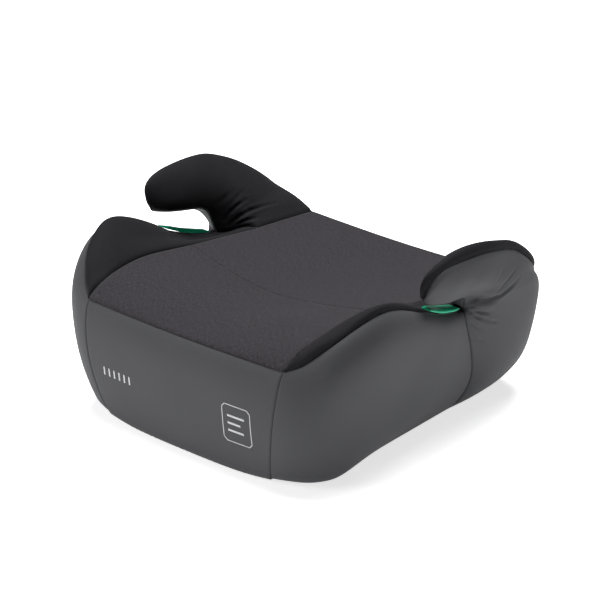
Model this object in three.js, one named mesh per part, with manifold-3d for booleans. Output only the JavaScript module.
// Backless car booster seat: a padded, fabric-covered seat cushion with two armrests.
// Millimetres, +Z up, the child faces -Y, and the child's left is +X.
// The origin is on the floor under the middle of the seat.
import * as THREE from 'three';
import Module from 'manifold-3d';
import { mergeVertices } from 'three/addons/utils/BufferGeometryUtils.js';

const wasm = await Module();
wasm.setup();

// ---------------------------------------------------------------- driving dimensions
const FOOT_HEIGHT = 4;
const FOOT_RADIUS = 16;
const CLEARANCE = 0.3;          // between pieces that touch
const COVER_THICKNESS = 2.4;    // fabric laminated to a thin foam backing
const COVER_GAP = 1.8;          // from a panel's edge to the middle of its seam
const PAD_DEPTH = 4.2;          // from the cover's outside to the top of the foam under it
const PAD_BACK = 8.5;           // and to the back of the thin pads on the sides and armrests
const TRAY_THICKNESS = 3.7;
const DECK_THICKNESS = 4;
const DECK_TOP = 113;
const FRAME_X = [195.5, 200.7];  // the upright plate of an armrest frame
const FLANGE_Y = [116, 166];    // its foot, which is screwed to the deck
const FLANGE_THICKNESS = 4.5;
const SHANK_RADIUS = 2;
const HOLE_RADIUS = 2.5;
const HEAD_RADIUS = 5;
const SLOT_SETTLE = 9.5;        // how much lower the right side's cover lies at the belt slot
const ARM_SETTLE = 8;           // and behind the right armrest
const CENTRE_SHIFT = -4.59;     // brings the middle of the seat's length over the origin

// ---------------------------------------------------------------- seams and guide lines
// Each line is a list of points on the left half of the seat, from the front towards the rear,
// or from the tip of the armrest round it. Mirrored in X they give the right half.

const FRONT_CORNER = [145, -180, 142];
const SLOT_CORNER = [190, 65, 143];
const SLOT_INNER = [177, 62, 146];
const BOLSTER_TAIL = [146, 102, 139];
const REAR_CORNER = [145, 197, 131];
const REAR_JOIN = [177, 198, 137];
const NOSE = [203, -22, 185];
const SEAT_EDGE_FRONT = [
  FRONT_CORNER, [146, -167, 150], [146, -150, 157], [147, -128, 161], [148, -95, 163],
  [148, -60, 160], [147, -25, 155], [146, 8, 151], [146, 50, 146], BOLSTER_TAIL,
];
const SEAT_EDGE_REAR = [BOLSTER_TAIL, [145, 133, 137], [145, 165, 134], REAR_CORNER];
const SEAT_MIDWAY = [
  [75, -183, 142], [75, -172, 147.5], [75, -155, 152], [75, -133, 155], [75, -100, 156],
  [75, -68, 152.5], [75, -38, 148], [75, -5, 143], [75, 42, 138], [75, 98, 134.5],
  [75, 133, 133], [75, 166, 131], [75, 197, 129],
];
const SEAT_CENTRE = [
  [0, -184, 142], [0, -174, 145], [0, -158, 149], [0, -137, 151.5], [0, -104, 151.5],
  [0, -73, 147.5], [0, -44, 143], [0, -12, 138.5], [0, 38, 134], [0, 95, 131],
  [0, 132, 130], [0, 165, 129], [0, 197, 128],
];
const BOLSTER_WALL = [
  FRONT_CORNER, [151, -167, 154], [157, -150, 164], [163, -128, 175], [168, -98, 182],
  [168, -60, 178], [165, -24, 167], [162, 8, 154], [160, 44, 147], [160, 88, 141],
];
const BOLSTER_CREST = [
  FRONT_CORNER, [157, -168, 153], [168, -155, 168], [181, -131, 184], [193, -98, 199],
  [193, -60, 194], [188, -23, 177], [183, 8, 158], [180, 38, 150], SLOT_INNER,
];
const RIM = [
  FRONT_CORNER, [161, -169, 149], [175, -156, 162], [190, -136, 179], [202, -97, 193.5],
  [203, -57, 188.5], [200, -18, 171.5], [197, 13, 157], [194, 40, 148], SLOT_CORNER,
];

// lines of the side panels
const SIDE_SHOULDER = [
  [143, -187, 118], [160, -181, 122], [180, -169, 131], [199, -149, 145], [213, -109, 159],
  [215, -69, 159], [212, -30, 149], [207, 3, 138], [202, 37, 131], [196, 64, 128],
];
const SIDE_MIDDLE = [
  [138, -190, 80], [156, -185, 80], [175, -173, 82], [190, -152, 88], [199, -115, 93],
  [201, -75, 92], [199, -35, 87], [198, 3, 84], [194, 45, 82], [190, 82, 83],
];
const SIDE_LOW = [
  [130, -185, 38], [148, -180, 37], [166, -167, 37], [180, -148, 38], [188, -115, 40],
  [188, -75, 40], [186, -35, 39], [183, 10, 38], [181, 51, 38], [179, 92, 38],
];
const SIDE_HEM = [
  [122, -176, 4], [142, -168, 4], [160, -157, 4], [173, -142, 5], [178, -124, 6],
  [176, -100, 8], [172, -70, 9], [170, -30, 9], [169, 20, 9], [168, 70, 9],
];

// lines of the armrests
// Each runs from the armrest's nose, over or under it, round to the seat's rear corner.
const ARM_UNDER = [NOSE, [192, -6, 179], [185, 22, 174], [182, 48, 167], SLOT_INNER];
const ARM_ROOT = [SLOT_INNER, [160, 88, 141], BOLSTER_TAIL];
const ARM_LOW = [
  NOSE, [192, -11, 188], [182, 12, 189], [178, 40, 185], [173, 73, 172],
  [164, 92, 157], [157, 112, 149], [155, 140, 146], [153, 170, 140], REAR_CORNER,
];
const ARM_HIGH = [
  NOSE, [199, -20, 200], [192, 6, 209], [186, 39, 210], [184, 76, 201],
  [179, 104, 186], [174, 128, 172], [171, 152, 163], [160, 182, 144], REAR_CORNER,
];
const ARM_RIDGE = [
  NOSE, [206, -25, 210], [207, -1, 223], [206, 37, 227], [206, 75, 223.5],
  [204, 107, 214.5], [200, 138, 201], [195, 173, 175], [177, 191, 150], REAR_CORNER,
];
const ARM_SEAM = [
  NOSE, [212, -19, 205], [216, 0, 217], [216, 34, 217], [216, 70, 214],
  [214, 104, 207], [210, 140, 192], [204, 177, 161], REAR_JOIN,
];

// lines of the grey panels behind the belt slot
// They fan out from the slot: the first points follow the slot, the last ones follow the seam
// between the side panel and this one, down to the hem.
const SLOT_EDGE = [
  NOSE, [206, -14, 178.5], [206, 0, 173.5], [206, 14, 170], [204, 30, 167], [201, 45, 164],
  [197, 56, 160], [192, 64, 152], SLOT_CORNER,
];
const SIDE_SEAM = [SLOT_CORNER, [196, 64, 128], [190, 82, 83], [179, 92, 38], [168, 70, 9]];
const FAN_LOW = [
  NOSE, [210, -15, 188], [214, 0, 190], [216, 20, 189], [216, 40, 187], [216, 57, 182],
  [214, 72, 174], [212, 86, 165], [210, 98, 150], [205, 113, 122], [199, 125, 84],
  [188, 122, 42], [171, 108, 10],
];
const FAN_HIGH = [
  NOSE, [213, -18, 197], [217, 0, 205], [218, 28, 205], [218, 56, 202], [217, 82, 196],
  [215, 108, 184], [213, 138, 168], [207, 174, 146], [203, 181, 115], [196, 182, 80],
  [186, 175, 42], [166, 160, 12],
];
const REAR_SEAM = [REAR_JOIN, [177, 200, 105], [174, 200, 70], [164, 198, 38], [150, 194, 14]];

// lines of the front and the rear, by height
const FRONT_LINES = [
  [FRONT_CORNER, [75, -183, 142], [0, -184, 142]],
  [[143, -187, 118], [75, -192, 118], [0, -193, 118]],
  [[138, -190, 80], [75, -193, 80], [0, -194, 80]],
  [[130, -185, 38], [75, -189, 38], [0, -190.5, 38]],
  [[122, -176, 4], [75, -183, 3.2], [0, -185, 3.2]],
];
const REAR_LINES = [
  [REAR_JOIN, REAR_CORNER, [75, 197, 129], [0, 197, 128]],
  [[177, 200, 105], [148, 202, 105], [75, 203, 105], [0, 203, 105]],
  [[174, 200, 70], [148, 202, 70], [75, 203, 70], [0, 203, 70]],
  [[164, 198, 38], [142, 199, 38], [75, 200, 38], [0, 200, 38]],
  [[150, 194, 14], [133, 195, 14], [75, 195, 14], [0, 195, 14]],
];

// ---------------------------------------------------------------- helpers
const mirrored = (line) => line.map(([x, y, z]) => [-x, y, z]);

const fullWidth = (line) => [...mirrored(line), ...line.slice(0, -1).reverse()];

const curveThrough = (points) => new THREE.CatmullRomCurve3(
  points.map((p) => (p.isVector3 ? p : new THREE.Vector3(...p))), false, 'catmullrom', 0.5,
);

// A line made of runs that meet at corners; every step between two points takes equal share.
function cornered(...runs) {
  const curves = runs.map(curveThrough);
  const steps = runs.map((run) => run.length - 1);
  const total = steps.reduce((sum, count) => sum + count, 0);
  return {
    getPoint(share) {
      let left = share * total;
      let k = 0;
      while (k < steps.length - 1 && left > steps[k]) {
        left -= steps[k];
        k += 1;
      }
      return curves[k].getPoint(Math.min(1, left / steps[k]));
    },
    getLength: () => curves.reduce((sum, curve) => sum + curve.getLength(), 0),
  };
}

// A patch of upholstery: lines run along it, and a smooth curve crosses them at each step.
// It comes as a grid whose outer edges stay a set distance inside the patch.
function patchGrid(lines, { rows, columns, span = [0, 1], across = [0, 1] }, inset) {
  const curves = lines.map((line) => (line.getPoint ? line : curveThrough(line)));
  const length = curveThrough(curves.map((curve) => curve.getPoint(0.5))).getLength();
  const reach = curves[Math.floor(curves.length / 2)].getLength();
  const start = span[0] + inset / reach;
  const stop = span[1] - inset / reach;
  const grid = [];
  for (let i = 0; i <= rows; i += 1) {
    const along = start + (stop - start) * (i / rows);
    const crossing = curveThrough(curves.map((curve) => curve.getPoint(along)));
    const margin = Math.min(0.4, inset / Math.max(crossing.getLength(), 0.01 * length));
    grid.push(Array.from({ length: columns + 1 }, (_, j) => (
      crossing.getPoint(margin + (1 - 2 * margin) * THREE.MathUtils.lerp(...across, j / columns))
    )));
  }
  return grid;
}

// Directions into the body at every point of a grid: square to its surface, on the side of a
// point inside the body.
function inwardOf(grid, inside) {
  const last = grid.length - 1;
  const end = grid[0].length - 1;
  const square = grid.map((row, i) => row.map((_, j) => {
    const alongStep = grid[Math.min(i + 1, last)][j].clone().sub(grid[Math.max(i - 1, 0)][j]);
    const acrossStep = row[Math.min(j + 1, end)].clone().sub(row[Math.max(j - 1, 0)]);
    return alongStep.cross(acrossStep).normalize();
  }));
  const target = new THREE.Vector3(...inside);
  let facing = 0;
  grid.forEach((row, i) => row.forEach((p, j) => {
    facing += target.clone().sub(p).normalize().dot(square[i][j]);
  }));
  return square.map((row) => row.map((n) => n.multiplyScalar(Math.sign(facing))));
}

// One closed body between two grids of the same size.
function bodyBetween(outer, inner) {
  const rows = outer.length;
  const columns = outer[0].length;
  const positions = [...outer.flat(), ...inner.flat()].flatMap((p) => [p.x, p.y, p.z]);
  const at = (layer, i, j) => layer * rows * columns + i * columns + j;
  const faces = [];
  const quad = (a, b, c, d) => faces.push(a, b, c, a, c, d);
  for (let i = 0; i < rows - 1; i += 1) {
    for (let j = 0; j < columns - 1; j += 1) {
      quad(at(0, i, j), at(0, i, j + 1), at(0, i + 1, j + 1), at(0, i + 1, j));
      quad(at(1, i, j), at(1, i + 1, j), at(1, i + 1, j + 1), at(1, i, j + 1));
    }
    quad(at(0, i, 0), at(0, i + 1, 0), at(1, i + 1, 0), at(1, i, 0));
    quad(at(0, i + 1, columns - 1), at(0, i, columns - 1), at(1, i, columns - 1), at(1, i + 1, columns - 1));
  }
  for (let j = 0; j < columns - 1; j += 1) {
    quad(at(0, 0, j + 1), at(0, 0, j), at(1, 0, j), at(1, 0, j + 1));
    quad(at(0, rows - 1, j), at(0, rows - 1, j + 1), at(1, rows - 1, j + 1), at(1, rows - 1, j));
  }
  const geometry = new THREE.BufferGeometry();
  geometry.setAttribute('position', new THREE.Float32BufferAttribute(positions, 3));
  geometry.setIndex(faces);
  return outward(geometry);
}

// Volume by the sum of the tetrahedra on its faces; a negative one means inside out.
function outward(geometry) {
  const position = geometry.getAttribute('position');
  const index = geometry.getIndex();
  const [a, b, c] = [new THREE.Vector3(), new THREE.Vector3(), new THREE.Vector3()];
  let volume = 0;
  for (let k = 0; k < index.count; k += 3) {
    a.fromBufferAttribute(position, index.getX(k));
    b.fromBufferAttribute(position, index.getX(k + 1));
    c.fromBufferAttribute(position, index.getX(k + 2));
    volume += a.dot(b.cross(c));
  }
  if (volume < 0) {
    const flipped = [];
    for (let k = 0; k < index.count; k += 3) {
      flipped.push(index.getX(k), index.getX(k + 2), index.getX(k + 1));
    }
    geometry.setIndex(flipped);
  }
  return geometry;
}

// A layer of the upholstery, from one depth under its surface to another.
function layer({ lines, inside }, shape) {
  const sink = (depth) => {
    const grid = patchGrid(lines, shape, shape.inset + depth);
    const inward = inwardOf(grid, inside);
    return grid.map((row, i) => row.map((p, j) => p.clone().addScaledVector(inward[i][j], depth)));
  };
  return bodyBetween(sink(shape.from), sink(shape.to));
}

// A cushion under a patch, with a flat bottom.
function cushion({ lines, inside }, shape) {
  const grid = patchGrid(lines, shape, shape.inset);
  const inward = inwardOf(grid, inside);
  const top = grid.map((row, i) => row.map((p, j) => p.clone().addScaledVector(inward[i][j], shape.depth)));
  const bottom = top.map((row) => row.map((p) => new THREE.Vector3(p.x, p.y, shape.floor)));
  return bodyBetween(top, bottom);
}

// Rounded rectangle, symmetric in X, as points for a loft.
function roundedOutline(halfWidth, front, rear, radius, steps = 5) {
  const corners = [
    [halfWidth - radius, front + radius, -90], [halfWidth - radius, rear - radius, 0],
    [-halfWidth + radius, rear - radius, 90], [-halfWidth + radius, front + radius, 180],
  ];
  return corners.flatMap(([x, y, startAngle]) => Array.from({ length: steps + 1 }, (_, k) => {
    const angle = THREE.MathUtils.degToRad(startAngle + (90 * k) / steps);
    return [x + radius * Math.cos(angle), y + radius * Math.sin(angle)];
  }));
}

// A closed loft through outlines at rising heights.
function loft(sections) {
  const count = sections[0].outline.length;
  const positions = sections.flatMap(({ outline, z }) => outline.flatMap(([x, y]) => [x, y, z]));
  const faces = [];
  for (let s = 0; s < sections.length - 1; s += 1) {
    for (let k = 0; k < count; k += 1) {
      const [a, b] = [s * count + k, s * count + ((k + 1) % count)];
      faces.push(a, b, b + count, a, b + count, a + count);
    }
  }
  const top = (sections.length - 1) * count;
  for (let k = 1; k < count - 1; k += 1) {
    faces.push(0, k + 1, k, top, top + k, top + k + 1);
  }
  const geometry = new THREE.BufferGeometry();
  geometry.setAttribute('position', new THREE.Float32BufferAttribute(positions, 3));
  geometry.setIndex(faces);
  return outward(geometry);
}

// Side-view outline in (y, z), extruded from one x to another.
function sideExtrusion(outline, fromX, toX) {
  const shape = new THREE.Shape(outline.map(([y, z]) => new THREE.Vector2(y, z)));
  const geometry = new THREE.ExtrudeGeometry(shape, { depth: toX - fromX, bevelEnabled: false });
  // the shape's (x, y) becomes (y, z) and its depth becomes x
  geometry.applyMatrix4(new THREE.Matrix4().set(0, 0, 1, fromX, 1, 0, 0, 0, 0, 1, 0, 0, 0, 0, 0, 1));
  return geometry;
}

function box([x0, x1], [y0, y1], [z0, z1]) {
  const geometry = new THREE.BoxGeometry(x1 - x0, y1 - y0, z1 - z0);
  return geometry.translate((x0 + x1) / 2, (y0 + y1) / 2, (z0 + z1) / 2);
}

function toSolid(geometry) {
  const bare = geometry.clone();
  bare.deleteAttribute('normal');
  bare.deleteAttribute('uv');
  const merged = mergeVertices(bare, 1e-4);
  return new wasm.Manifold(new wasm.Mesh({
    numProp: 3,
    vertProperties: Float32Array.from(merged.getAttribute('position').array),
    triVerts: Uint32Array.from(merged.getIndex().array),
  }));
}

function fromSolid(solid) {
  const mesh = solid.getMesh();
  const geometry = new THREE.BufferGeometry();
  geometry.setAttribute('position', new THREE.Float32BufferAttribute(mesh.vertProperties, 3));
  geometry.setIndex(Array.from(mesh.triVerts));
  return geometry;
}

const cut = (geometry, ...tools) => fromSolid(tools.reduce((s, t) => s.subtract(toSolid(t)), toSolid(geometry)));
const join = (geometry, ...others) => fromSolid(others.reduce((s, o) => s.add(toSolid(o)), toSolid(geometry)));

const mirrorX = (geometry) => {
  const copy = geometry.clone();
  copy.deleteAttribute('normal');
  copy.deleteAttribute('uv');
  const position = copy.getAttribute('position');
  for (let k = 0; k < position.count; k += 1) position.setX(k, -position.getX(k));
  return outward(mergeVertices(copy, 1e-4));
};

// ---------------------------------------------------------------- materials
const finish = (color, roughness) => new THREE.MeshStandardMaterial({ color, roughness, metalness: 0 });
const BLACK_KNIT = finish('#46444a', 0.95);
const BLACK_FABRIC = finish('#323136', 0.95);
const GREY_FABRIC = finish('#69696b', 0.8);
const SOFT_FOAM = finish('#d8d4c4', 1);
const CORE_FOAM = finish('#e6e6e6', 0.95);
const BLACK_PLASTIC = finish('#242427', 0.5);
const GREEN_PLASTIC = finish('#32b98c', 0.35);
const RUBBER = finish('#18181a', 0.9);
const STEEL = new THREE.MeshStandardMaterial({ color: '#b9bcc0', roughness: 0.35, metalness: 1 });

const seat = new THREE.Group();

function add(name, geometry, material) {
  const mesh = new THREE.Mesh(geometry, material);
  mesh.name = name;
  seat.add(mesh);
  return mesh;
}

// The cover sits a little lower on the right: by SLOT_SETTLE round the belt slot, and by
// ARM_SETTLE behind the armrest. Each amount fades out towards the parts that do not move.
function settle(geometry, aboveSlot) {
  const ease = (x) => THREE.MathUtils.smoothstep(x, 0, 1);
  const position = geometry.getAttribute('position');
  for (let k = 0; k < position.count; k += 1) {
    const [x, y, z] = [position.getX(k), position.getY(k), position.getZ(k)];
    let amount = SLOT_SETTLE * ease((y + 150) / 150) * (1 - ease((y - 65) / 35));
    amount *= ease((z - 114) / 28) * ease((Math.abs(x) - 146) / 25);
    if (aboveSlot) {
      amount *= 1 - ease((z - 150) / 15);
      amount += ARM_SETTLE * ease((y - 70) / 80) * ease((z - 140) / 30);
    }
    position.setZ(k, z - amount);
  }
  return geometry;
}

const ABOVE_SLOT = true;
const BELOW_SLOT = false;

// A soft pair: the right one settles before its tools, such as a frame's room, are cut out.
function addSoftPair(name, geometry, material, part, ...tools) {
  add(`${name}_left`, tools.length ? cut(geometry, ...tools) : geometry, material);
  const right = settle(mirrorX(geometry), part);
  add(`${name}_right`, tools.length ? cut(right, ...tools.map(mirrorX)) : right, material);
}

function addPair(name, geometry, material) {
  add(`${name}_left`, geometry, material);
  add(`${name}_right`, mirrorX(geometry), material);
}

// ---------------------------------------------------------------- base, core and deck
const trayBottom = FOOT_HEIGHT + CLEARANCE;
const trayTop = trayBottom + TRAY_THICKNESS;
const coreBottom = trayTop + CLEARANCE;
const deckBottom = DECK_TOP - DECK_THICKNESS;
const coreTop = deckBottom - CLEARANCE;

const footPlaces = {
  front_left: [112, -118], front_right: [-112, -118], rear_left: [112, 138], rear_right: [-112, 138],
};
const tieScrewPlaces = {
  front_left: [70, -118], front_right: [-70, -118], rear_left: [70, 138], rear_right: [-70, 138],
};
const armScrewPlaces = {
  left_front: [168, 127], left_rear: [168, 155], right_front: [-168, 127], right_rear: [-168, 155],
};
const STUD_RADIUS = 3;
const STUD_TOP = trayTop - 1;
const TIE_SCREW_TOP = 60;
const ARM_SCREW_BOTTOM = 86;
const flangeBottom = DECK_TOP + CLEARANCE;
const flangeTop = flangeBottom + FLANGE_THICKNESS;
const armHeadBottom = flangeTop + CLEARANCE;
const counterbore = trayBottom + 2.6;

// A turned solid from (radius, z) pairs that start and end on the axis.
function turned(profile, [x, y], sides = 16) {
  const geometry = new THREE.LatheGeometry(profile.map(([r, z]) => new THREE.Vector2(r, z)), sides);
  geometry.rotateX(Math.PI / 2).translate(x, y, 0);
  geometry.deleteAttribute('normal');
  geometry.deleteAttribute('uv');
  return outward(mergeVertices(geometry, 1e-4));
}

const hole = (radius, from, to, place) => turned([[0, from], [radius, from], [radius, to], [0, to]], place, 10);

const footPegHoles = Object.values(footPlaces).map((p) => (
  hole(STUD_RADIUS + CLEARANCE, trayBottom - 1, trayTop + 1, p)));
const tieHoles = Object.values(tieScrewPlaces).flatMap((p) => [
  hole(HEAD_RADIUS + CLEARANCE, trayBottom - 1, counterbore, p),
  hole(HOLE_RADIUS, trayBottom - 1, TIE_SCREW_TOP + 1, p),
]);
const armHoles = Object.values(armScrewPlaces).map((p) => (
  hole(HOLE_RADIUS, ARM_SCREW_BOTTOM - 1, flangeTop + 1, p)));

add('base_tray', cut(loft([
  { outline: roundedOutline(146, -160, 178, 46), z: trayBottom },
  { outline: roundedOutline(148, -162, 180, 46), z: trayTop },
]), ...footPegHoles, ...tieHoles), BLACK_PLASTIC);
add('core_block', cut(loft([
  { outline: roundedOutline(146, -158, 176, 46), z: coreBottom },
  { outline: roundedOutline(162, -168, 182, 46), z: 40 },
  { outline: roundedOutline(180, -171, 184, 46), z: coreTop },
]), ...tieHoles, ...armHoles), CORE_FOAM);
add('seat_deck', cut(loft([
  { outline: roundedOutline(180, -171, 184, 46), z: deckBottom },
  { outline: roundedOutline(180, -171, 184, 46), z: DECK_TOP },
]), ...armHoles), BLACK_PLASTIC);

Object.entries(footPlaces).forEach(([corner, place]) => add(`rubber_foot_${corner}`, turned([
  [0, 0], [FOOT_RADIUS - 1, 0], [FOOT_RADIUS, 1], [FOOT_RADIUS, FOOT_HEIGHT], [STUD_RADIUS, FOOT_HEIGHT],
  [STUD_RADIUS, STUD_TOP], [0, STUD_TOP],
], place, 20), RUBBER));
Object.entries(tieScrewPlaces).forEach(([corner, place]) => add(`base_screw_${corner}`, turned([
  [0, trayBottom], [HEAD_RADIUS, trayBottom], [HEAD_RADIUS, counterbore - CLEARANCE],
  [SHANK_RADIUS, counterbore - CLEARANCE], [SHANK_RADIUS, TIE_SCREW_TOP], [0, TIE_SCREW_TOP],
], place, 10), STEEL));
Object.entries(armScrewPlaces).forEach(([corner, place]) => add(`armrest_screw_${corner}`, turned([
  [0, ARM_SCREW_BOTTOM], [SHANK_RADIUS, ARM_SCREW_BOTTOM], [SHANK_RADIUS, armHeadBottom],
  [HEAD_RADIUS, armHeadBottom], [HEAD_RADIUS, armHeadBottom + 3], [0, armHeadBottom + 3],
], place, 10), STEEL));

// ---------------------------------------------------------------- armrest frames and belt guides
// Side view of the frame's plate: a horn that reaches forward over the belt slot, on an upright.
function frameOutline(grow) {
  const nose = [10, 199];
  const noseRadius = 10 + grow;
  const round = [0, 1, 2, 3, 4].map((k) => {
    const angle = THREE.MathUtils.degToRad(270 - 45 * k);
    return [nose[0] + noseRadius * Math.cos(angle), nose[1] + noseRadius * Math.sin(angle)];
  });
  return [
    ...round,
    [30, 212 + grow], [60, 207 + grow], [88, 198 + grow], [110, 186 + grow], [130 + grow, 172 + grow],
    [148 + grow, 154], [160 + grow, 134], [FLANGE_Y[1] + grow, flangeBottom - grow],
    [FLANGE_Y[0] - grow, flangeBottom - grow], [111 - grow, 134], [102 - grow, 150 - grow],
    [88, 166 - grow], [70, 178 - grow], [44, 185 - grow],
  ].reverse();
}

function armrestFrame(grow) {
  const plate = sideExtrusion(frameOutline(grow), FRAME_X[0] - grow, FRAME_X[1] + grow);
  const flange = box(
    [152 - grow, FRAME_X[0] + 1], [FLANGE_Y[0] - grow, FLANGE_Y[1] + grow],
    [flangeBottom - grow, flangeTop + grow],
  );
  return join(plate, flange);
}

addPair('armrest_frame', cut(armrestFrame(0), ...armHoles), BLACK_PLASTIC);

// The belt guide is a low crescent on the slot's floor, with a flat underside. Its top rises
// inwards from a lip over the bolster's rim, along a quarter of an ellipse, and its height
// along the slot follows half a wave.
const GUIDE_WIDTH = 13;
const GUIDE_RISE = 3.8;
const GUIDE_THICKNESS = 1.4;
const GUIDE_LIFT = 0.6;         // clear of the cloth's crown under it
const guideFoot = curveThrough([
  [204, -8, 168.0], [202.8, 1, 163.6], [200, 18, 155.9], [196.6, 41, 149.0], [193.8, 54, 146.6],
]);

function guideSurface(lift, rise, rows = 16, columns = 6) {
  return Array.from({ length: rows + 1 }, (_, i) => {
    const share = i / rows;
    const foot = guideFoot.getPoint(share);
    const crest = rise * Math.sin(Math.PI * share) ** 0.8;
    return Array.from({ length: columns + 1 }, (_unused, j) => {
      const angle = (Math.PI / 2) * (j / columns);
      return new THREE.Vector3(
        foot.x - GUIDE_WIDTH * (1 - Math.cos(angle)), foot.y, foot.z + lift + crest * Math.sin(angle),
      );
    });
  });
}

addSoftPair('belt_guide', bodyBetween(
  guideSurface(GUIDE_LIFT + GUIDE_THICKNESS, GUIDE_RISE), guideSurface(GUIDE_LIFT, 0),
), GREEN_PLASTIC, BELOW_SLOT);

// ---------------------------------------------------------------- foam pads under the cover
const BODY_INSIDE = [0, 0, 80];
const seatEdge = cornered(SEAT_EDGE_FRONT, SEAT_EDGE_REAR);
const seatEdgeRight = cornered(mirrored(SEAT_EDGE_FRONT), mirrored(SEAT_EDGE_REAR));
const seatPatch = {
  lines: [seatEdgeRight, mirrored(SEAT_MIDWAY), SEAT_CENTRE, SEAT_MIDWAY, seatEdge],
  inside: BODY_INSIDE,
};
const bolsterPatch = {
  lines: [SEAT_EDGE_FRONT, BOLSTER_WALL, BOLSTER_CREST, RIM],
  inside: [175, -60, 100],
};
const sidePatch = { lines: [RIM, SIDE_SHOULDER, SIDE_MIDDLE, SIDE_LOW, SIDE_HEM], inside: BODY_INSIDE };
const armPatch = {
  lines: [
    cornered(ARM_UNDER, ARM_ROOT, SEAT_EDGE_REAR), ARM_LOW, ARM_HIGH, ARM_RIDGE,
    cornered(ARM_SEAM, [REAR_JOIN, REAR_CORNER]),
  ],
  inside: [203, 80, 180],
};
const fanPatch = {
  lines: [cornered(SLOT_EDGE, SIDE_SEAM), FAN_LOW, FAN_HIGH, cornered(ARM_SEAM, REAR_SEAM)],
  inside: BODY_INSIDE,
};
const liningPatch = { lines: [SLOT_EDGE, ARM_UNDER], inside: [195, 90, 220] };
const frontPatch = { lines: FRONT_LINES.map(fullWidth), inside: BODY_INSIDE };
const rearPatch = {
  lines: REAR_LINES.map(fullWidth).map((line) => (
    cornered(line.slice(0, 2), line.slice(1, -1), line.slice(-2)))),
  inside: BODY_INSIDE,
};

const cushionFloor = DECK_TOP + CLEARANCE;

add('seat_foam', cushion(seatPatch, {
  rows: 10, columns: 6, inset: 7, depth: PAD_DEPTH, floor: cushionFloor, span: [0.055, 0.96],
}), SOFT_FOAM);
const frameRoom = armrestFrame(CLEARANCE + 0.1);
addSoftPair('bolster_foam', cushion(bolsterPatch, {
  rows: 9, columns: 4, inset: 7, depth: PAD_DEPTH, floor: cushionFloor, span: [0.08, 0.9], across: [0, 0.62],
}), SOFT_FOAM, BELOW_SLOT);
add('front_foam', layer(frontPatch, {
  rows: 8, columns: 5, inset: 5, from: PAD_DEPTH, to: 12,
}), SOFT_FOAM);
add('rear_foam', layer(rearPatch, {
  rows: 8, columns: 4, inset: 5, from: PAD_DEPTH, to: 12, span: [0.1, 0.9],
}), SOFT_FOAM);
addSoftPair('side_foam', layer(sidePatch, {
  rows: 10, columns: 5, inset: 3, from: PAD_DEPTH + 0.3, to: PAD_BACK,
}), SOFT_FOAM, BELOW_SLOT);
addSoftPair('rear_side_foam', layer(fanPatch, {
  rows: 14, columns: 4, inset: 3, from: PAD_DEPTH + 1.9, to: PAD_BACK + 0.5, span: [0.12, 0.975],
}), SOFT_FOAM, ABOVE_SLOT, frameRoom);
addSoftPair('armrest_foam', layer(armPatch, {
  rows: 12, columns: 5, inset: 3, from: PAD_DEPTH + 0.6, to: PAD_BACK, span: [0.14, 0.89],
}), SOFT_FOAM, ABOVE_SLOT, frameRoom);

// ---------------------------------------------------------------- sewn cover panels
const skin = (patch, rows, columns, span) => layer(patch, {
  rows, columns, inset: COVER_GAP, from: 0, to: COVER_THICKNESS, span,
});
const SEAT_JOIN = 0.531;   // where the seam across the seat lies along the seat edge

add('seat_cover_front', skin(seatPatch, 8, 8, [0, SEAT_JOIN]), BLACK_KNIT);
add('seat_cover_rear', skin(seatPatch, 6, 8, [SEAT_JOIN, 1]), BLACK_KNIT);
addSoftPair('bolster_cover', skin(bolsterPatch, 12, 6, [0.03, 1]), BLACK_FABRIC, BELOW_SLOT);
addSoftPair('armrest_cover', skin(armPatch, 18, 8, [0.03, 0.97]), BLACK_FABRIC, ABOVE_SLOT);
add('front_cover', skin(frontPatch, 10, 8), GREY_FABRIC);
addSoftPair('side_cover', skin(sidePatch, 12, 8), GREY_FABRIC, BELOW_SLOT);
addSoftPair('rear_side_cover', skin(fanPatch, 20, 6, [0.02, 1]), GREY_FABRIC, ABOVE_SLOT);
add('rear_cover', skin(rearPatch, 12, 6), GREY_FABRIC);
addSoftPair('slot_lining', skin(liningPatch, 10, 2, [0.06, 0.98]), GREY_FABRIC, ABOVE_SLOT);

// The cover's elastic hem is a flat ring that lies round the tray and closes the underside.
add('hem_elastic', cut(loft([
  { outline: roundedOutline(164, -171, 188, 46), z: trayBottom },
  { outline: roundedOutline(164, -171, 188, 46), z: trayBottom + 2.5 },
]), loft([
  { outline: roundedOutline(149, -163, 181, 46), z: trayBottom - 1 },
  { outline: roundedOutline(149, -163, 181, 46), z: trayBottom + 3.5 },
])), BLACK_FABRIC);

seat.children.forEach((mesh) => mesh.geometry.translate(0, CENTRE_SHIFT, 0));

export default seat;
